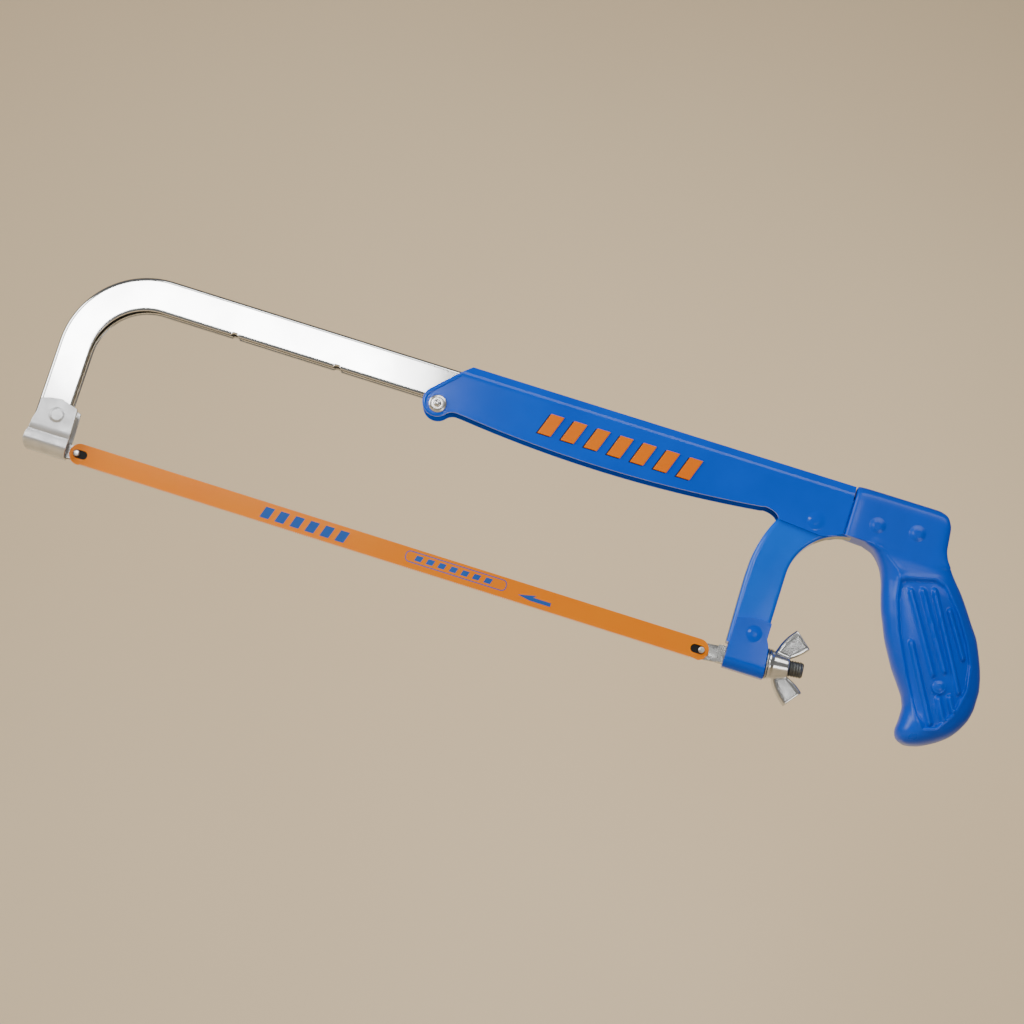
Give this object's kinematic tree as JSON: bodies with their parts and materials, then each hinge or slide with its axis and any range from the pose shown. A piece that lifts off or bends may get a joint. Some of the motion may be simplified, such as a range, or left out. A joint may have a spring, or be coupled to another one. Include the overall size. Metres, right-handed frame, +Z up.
{
  "type": "hand hacksaw",
  "caption": "Adjustable hand hacksaw with a plated sliding bow, painted rear frame, pistol grip, flexible blade on pins and a wing nut for tension.",
  "frame": {"origin": "middle of the grip, on the saw's mid-plane", "axes": "+X along the blade towards the grip, +Z up from the blade to the frame, +Y to the far side of the saw"},
  "size_m": [0.4563, 0.0294, 0.1078],
  "materials": {
    "bright_plate": "bright nickel plate on folded steel",
    "satin_plate": "satin nickel plate",
    "zinc_steel": "bright zinc plate",
    "pin_steel": "ground steel",
    "blade_enamel": "orange enamel with blue print",
    "blue_frame": "gloss stoving enamel",
    "orange_stripes": "raised orange enamel",
    "nickel_rivet": "polished nickel",
    "blue_leg": "gloss stoving enamel",
    "blue_grip": "moulded, satin gloss",
    "cast_zinc": "bright plated casting"
  },
  "bodies": {
    "frame": {"rear_frame": "blue_frame", "frame_stripes": "orange_stripes", "index_rivet": "nickel_rivet", "rear_leg": "blue_leg", "leg_rivet": "blue_frame", "rear_socket": "blue_frame", "rear_socket_rivet": "blue_frame", "grip_half_left": "blue_grip", "grip_half_right": "blue_grip", "grip_rivet": "blue_grip", "block_rivet_front": "blue_grip", "block_rivet_rear": "blue_grip", "thrust_washer": "zinc_steel"},
    "bow": {"front_bow": "bright_plate", "front_socket": "satin_plate", "front_socket_rivet": "satin_plate", "front_post": "zinc_steel", "front_blade_pin": "pin_steel"},
    "blade": {"blade": "blade_enamel"},
    "tensioner": {"tension_stud": "zinc_steel", "rear_blade_pin": "pin_steel"},
    "wing_nut": {"wing_nut": "cast_zinc"}
  },
  "joints": [
    {"name": "bow_slide", "type": "slide", "parent": "frame", "child": "bow", "axis": [1, 0, 0], "range_m": [0, 0.1]},
    {"name": "blade_swing", "type": "hinge", "parent": "bow", "child": "blade", "pos_m": [-0.4062, 0, -0.0366], "axis": [0, 0, -1], "range_deg": [0, 35]},
    {"name": "wing_nut_spin", "type": "hinge", "parent": "frame", "child": "wing_nut", "pos_m": [-0.0992, 0, -0.0366], "axis": [0.9945, 0, 0.1045], "range_deg": [0, 720]},
    {"name": "tension_slide", "type": "slide", "parent": "frame", "child": "tensioner", "axis": [0.9945, 0, 0.1045], "range_m": [-0.0025, 0]}
  ],
  "couplings": [
    {"joint": "blade_swing", "follows": "bow_slide", "rad_per_m": 6.1},
    {"joint": "wing_nut_spin", "follows": "tension_slide", "rad_per_m": -5026.5}
  ]
}
